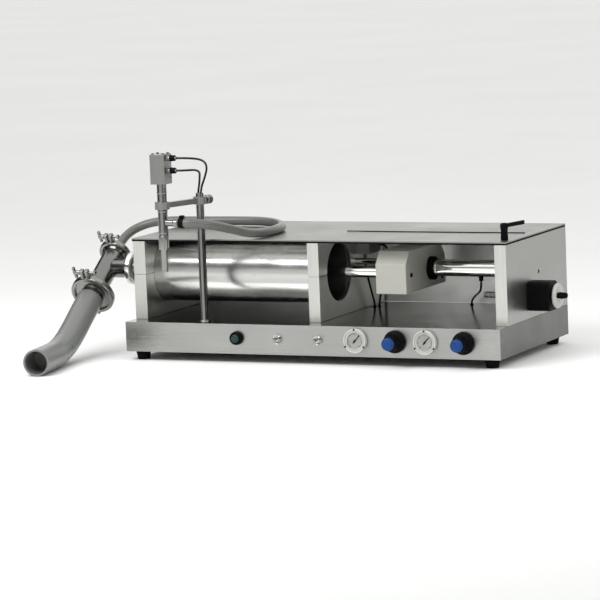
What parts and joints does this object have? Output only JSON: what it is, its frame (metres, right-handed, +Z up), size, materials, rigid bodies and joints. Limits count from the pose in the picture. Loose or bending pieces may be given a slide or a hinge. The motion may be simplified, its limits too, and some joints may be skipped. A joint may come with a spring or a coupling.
{
  "type": "piston liquid filler",
  "caption": "Bench-top pneumatic piston filler: horizontal product cylinder between split plates, open drive bay, front controls, nozzle on a stand, and inlet tee with suction hose.",
  "frame": {"origin": "bottom centre of the machine's box without its hoses and air lines, on the surface that the feet stand on", "axes": "+X along the cylinder towards the handwheel end, +Y towards the back, +Z up"},
  "size_m": [0.9846, 0.5771, 0.399],
  "materials": {
    "chassis_steel": "brushed sheet steel",
    "foot_rubber": "matt moulded rubber",
    "plate_finish": "light satin paint on thick plate",
    "cover_finish": "light grey satin sheet",
    "cylinder_steel": "mirror-polished stainless steel",
    "turned_steel": "turned stainless steel",
    "chrome_rod": "hard chrome",
    "block_enamel": "cream enamel",
    "seal_plastic": "white low-friction plastic",
    "black_plastic": "fine-grained black plastic",
    "handwheel_metal": "pale satin metal",
    "blue_plastic": "blue plastic",
    "green_plastic": "dark green plastic",
    "gauge_white": "white enamel",
    "needle_black": "matt black",
    "hose_clear": "translucent grey hose",
    "air_line_black": "black air tubing"
  },
  "bodies": {
    "frame": {"base_chassis": "chassis_steel", "foot_1": "foot_rubber", "foot_2": "foot_rubber", "foot_3": "foot_rubber", "foot_4": "foot_rubber", "left_plate_lower": "plate_finish", "left_plate_upper": "plate_finish", "middle_plate_lower": "plate_finish", "middle_plate_upper": "plate_finish", "right_plate": "plate_finish", "top_cover": "cover_finish", "back_panel": "cover_finish", "cylinder_tube": "cylinder_steel", "cylinder_end_cap": "turned_steel", "air_cylinder_barrel": "chrome_rod", "air_cylinder_gland": "black_plastic", "guide_rod": "chrome_rod", "adjuster_housing": "black_plastic", "gauge_case_1": "gauge_white", "gauge_case_2": "gauge_white", "air_valve": "black_plastic", "column": "cylinder_steel", "tee_body": "cylinder_steel", "inlet_hose_tail": "turned_steel", "inlet_clamp": "turned_steel", "outlet_barb": "turned_steel", "outlet_clamp": "turned_steel", "port_clamp": "turned_steel", "suction_hose": "hose_clear", "discharge_hose": "hose_clear", "air_line_upper": "air_line_black", "air_line_lower": "air_line_black"},
    "carriage": {"coupling_block": "block_enamel", "piston_rod": "chrome_rod", "piston": "turned_steel", "piston_seal": "seal_plastic", "air_cylinder_rod": "chrome_rod"},
    "adjuster": {"adjuster_screw": "turned_steel", "handwheel": "handwheel_metal"},
    "crank_grip": {"crank_grip": "black_plastic"},
    "stroke_stop": {"stroke_stop_bracket": "turned_steel"},
    "clamp_lever": {"clamp_lever": "black_plastic"},
    "push_button": {"push_button": "green_plastic"},
    "toggle_1": {"toggle_lever_1": "chrome_rod"},
    "toggle_2": {"toggle_lever_2": "chrome_rod"},
    "needle_1": {"gauge_needle_1": "needle_black"},
    "needle_2": {"gauge_needle_2": "needle_black"},
    "regulator_1": {"regulator_knob_1": "black_plastic", "regulator_cap_1": "blue_plastic"},
    "regulator_2": {"regulator_knob_2": "black_plastic", "regulator_cap_2": "blue_plastic"},
    "arm": {"nozzle_arm": "turned_steel", "nozzle_body": "cylinder_steel", "nozzle_air_cylinder": "turned_steel"},
    "thumb_screw": {"arm_thumb_screw": "turned_steel"},
    "plunger": {"nozzle_plunger": "chrome_rod"},
    "inlet_check": {"inlet_check_ball": "seal_plastic"},
    "outlet_check": {"outlet_check_ball": "seal_plastic"},
    "inlet_bolt": {"inlet_wing_bolt": "turned_steel"},
    "outlet_bolt": {"outlet_wing_bolt": "turned_steel"}
  },
  "joints": [
    {"name": "piston_stroke", "type": "slide", "parent": "frame", "child": "carriage", "axis": [1, 0, 0], "range_m": [-0.078, 0]},
    {"name": "handwheel_turn", "type": "hinge", "parent": "frame", "child": "adjuster", "pos_m": [0.46934, 0.03378, 0.115], "axis": [1, 0, 0], "range_deg": [0, 2160]},
    {"name": "crank_grip_spin", "type": "hinge", "parent": "adjuster", "child": "crank_grip", "pos_m": [0.48234, 0.01728, 0.118], "axis": [1, 0, 0], "continuous": true},
    {"name": "stop_travel", "type": "slide", "parent": "frame", "child": "stroke_stop", "axis": [-1, 0, 0], "range_m": [0, 0.03]},
    {"name": "clamp_lever_turn", "type": "hinge", "parent": "frame", "child": "clamp_lever", "pos_m": [0.39734, -0.04622, 0.242], "axis": [0, 0, 1], "range_deg": [-90, 60]},
    {"name": "push_button_press", "type": "slide", "parent": "frame", "child": "push_button", "axis": [0, 1, 0], "range_m": [0, 0.004], "stiffness_N_per_m": 300},
    {"name": "toggle_1_flip", "type": "hinge", "parent": "frame", "child": "toggle_1", "pos_m": [-0.02866, -0.12622, 0.047], "axis": [1, 0, 0], "range_deg": [0, 18]},
    {"name": "toggle_2_flip", "type": "hinge", "parent": "frame", "child": "toggle_2", "pos_m": [0.05334, -0.12622, 0.047], "axis": [1, 0, 0], "range_deg": [0, 18]},
    {"name": "needle_1_swing", "type": "hinge", "parent": "frame", "child": "needle_1", "pos_m": [0.12934, -0.13162, 0.047], "axis": [0, 1, 0], "range_deg": [-177, 93], "stiffness_Nm_per_rad": 0.001},
    {"name": "needle_2_swing", "type": "hinge", "parent": "frame", "child": "needle_2", "pos_m": [0.26834, -0.13162, 0.047], "axis": [0, 1, 0], "range_deg": [-177, 93], "stiffness_Nm_per_rad": 0.001},
    {"name": "regulator_1_turn", "type": "hinge", "parent": "frame", "child": "regulator_1", "pos_m": [0.20834, -0.14622, 0.047], "axis": [0, 1, 0], "range_deg": [-720, 720]},
    {"name": "regulator_2_turn", "type": "hinge", "parent": "frame", "child": "regulator_2", "pos_m": [0.34334, -0.14622, 0.047], "axis": [0, 1, 0], "range_deg": [-720, 720]},
    {"name": "arm_height", "type": "slide", "parent": "frame", "child": "arm", "axis": [0, 0, 1], "range_m": [-0.03, 0], "deforming": ["discharge_hose", "air_line_upper", "air_line_lower"]},
    {"name": "thumb_screw_turn", "type": "hinge", "parent": "arm", "child": "thumb_screw", "pos_m": [-0.17904, -0.09217, 0.303], "axis": [0.3057, 0.9521, 0], "range_deg": [0, 720]},
    {"name": "plunger_lift", "type": "slide", "parent": "arm", "child": "plunger", "axis": [0, 0, 1], "range_m": [0, 0.008]},
    {"name": "inlet_check_lift", "type": "slide", "parent": "frame", "child": "inlet_check", "axis": [0, 0.829, 0.5592], "range_m": [0, 0.006], "stiffness_N_per_m": 150, "springref_m": -0.003},
    {"name": "outlet_check_lift", "type": "slide", "parent": "frame", "child": "outlet_check", "axis": [0, 0.829, 0.5592], "range_m": [0, 0.006], "stiffness_N_per_m": 150, "springref_m": -0.003},
    {"name": "inlet_bolt_turn", "type": "hinge", "parent": "frame", "child": "inlet_bolt", "pos_m": [-0.44966, -0.08567, 0.1601], "axis": [1, 0, 0], "range_deg": [0, 1080]},
    {"name": "outlet_bolt_turn", "type": "hinge", "parent": "frame", "child": "outlet_bolt", "pos_m": [-0.44966, 0.01909, 0.21689], "axis": [1, 0, 0], "range_deg": [0, 1080]}
  ],
  "couplings": [
    {"joint": "handwheel_turn", "follows": "stop_travel", "rad_per_m": 1256.6}
  ]
}
